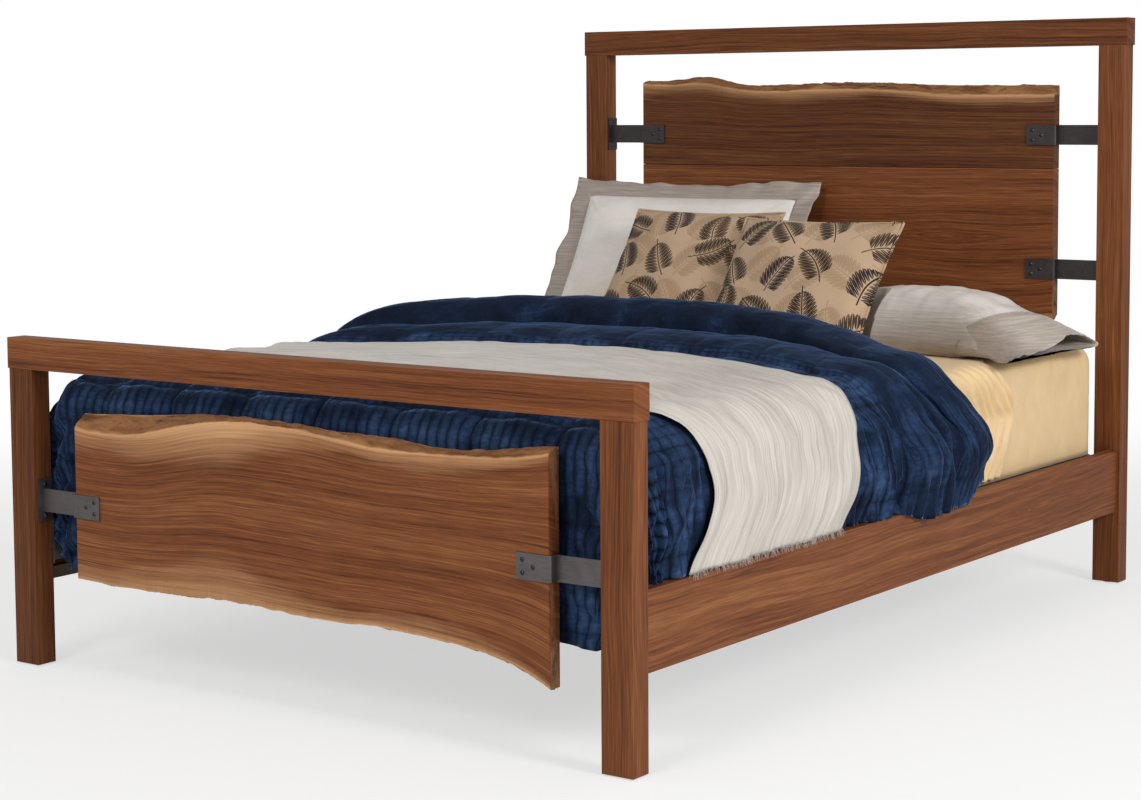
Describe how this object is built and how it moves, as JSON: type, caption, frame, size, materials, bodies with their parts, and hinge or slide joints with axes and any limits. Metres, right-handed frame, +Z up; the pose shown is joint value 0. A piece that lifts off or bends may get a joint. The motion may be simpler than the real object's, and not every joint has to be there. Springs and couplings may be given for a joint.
{
  "type": "bed",
  "caption": "Queen bed with live edge walnut head and foot panels held between square posts by steel straps, dressed with mattress, quilt, throw and pillows.",
  "frame": {"origin": "on the floor, at the middle of the bed's length and width", "axes": "+Y from the foot to the head, +X to the right seen from the foot, +Z up"},
  "size_m": [1.638, 2.2, 1.411],
  "materials": {
    "walnut_frame": "satin",
    "walnut_live_edge": "satin",
    "support_wood": "matte",
    "blackened_steel": "satin",
    "screw_steel": "satin",
    "zinc_steel": "satin",
    "nylon": "matte",
    "foundation_fabric": "matte",
    "mattress_ticking": "matte",
    "cream_cotton": "satin",
    "navy_velvet": "matte",
    "silver_silk": "satin",
    "sham_satin": "satin",
    "printed_cotton": "matte"
  },
  "bodies": {
    "frame": {"centre_beam": "support_wood", "centre_leg_foot": "support_wood", "centre_leg_head": "support_wood", "centre_leg_middle": "support_wood", "cleat_screws": "zinc_steel", "cushion_left": "printed_cotton", "cushion_right": "printed_cotton", "fitted_sheet": "cream_cotton", "foot_bracket_left": "blackened_steel", "foot_bracket_right": "blackened_steel", "foot_bracket_screws": "screw_steel", "foot_panel_slab": "walnut_live_edge", "foot_post_left": "walnut_frame", "foot_post_right": "walnut_frame", "foot_top_rail": "walnut_frame", "foundation": "foundation_fabric", "head_bracket_left_lower": "blackened_steel", "head_bracket_left_upper": "blackened_steel", "head_bracket_right_lower": "blackened_steel", "head_bracket_right_upper": "blackened_steel", "head_bracket_screws": "screw_steel", "head_panel_lower_board": "walnut_live_edge", "head_panel_upper_board": "walnut_live_edge", "head_post_left": "walnut_frame", "head_post_right": "walnut_frame", "head_top_rail": "walnut_frame", "leg_inserts": "zinc_steel", "lying_pillow": "sham_satin", "mattress": "mattress_ticking", "post_glides": "nylon", "post_receiver_foot_left": "zinc_steel", "post_receiver_foot_right": "zinc_steel", "post_receiver_head_left": "zinc_steel", "post_receiver_head_right": "zinc_steel", "quilt": "navy_velvet", "rail_hook_foot_left": "zinc_steel", "rail_hook_foot_right": "zinc_steel", "rail_hook_head_left": "zinc_steel", "rail_hook_head_right": "zinc_steel", "rail_joint_screws": "zinc_steel", "sham": "sham_satin", "side_rail_left": "walnut_frame", "side_rail_right": "walnut_frame", "slat_1": "support_wood", "slat_2": "support_wood", "slat_3": "support_wood", "slat_4": "support_wood", "slat_5": "support_wood", "slat_6": "support_wood", "slat_7": "support_wood", "slat_8": "support_wood", "slat_cleat_left": "support_wood", "slat_cleat_right": "support_wood", "slat_screws": "zinc_steel", "throw": "silver_silk", "top_sheet": "cream_cotton"},
    "glide_foot": {"levelling_glide_foot": "nylon"},
    "glide_head": {"levelling_glide_head": "nylon"},
    "glide_middle": {"levelling_glide_middle": "nylon"}
  },
  "joints": [
    {"name": "glide_foot_travel", "type": "slide", "parent": "frame", "child": "glide_foot", "axis": [0, 0, -1], "range_m": [0, 0.012]},
    {"name": "glide_head_travel", "type": "slide", "parent": "frame", "child": "glide_head", "axis": [0, 0, -1], "range_m": [0, 0.012]},
    {"name": "glide_middle_travel", "type": "slide", "parent": "frame", "child": "glide_middle", "axis": [0, 0, -1], "range_m": [0, 0.012]}
  ]
}
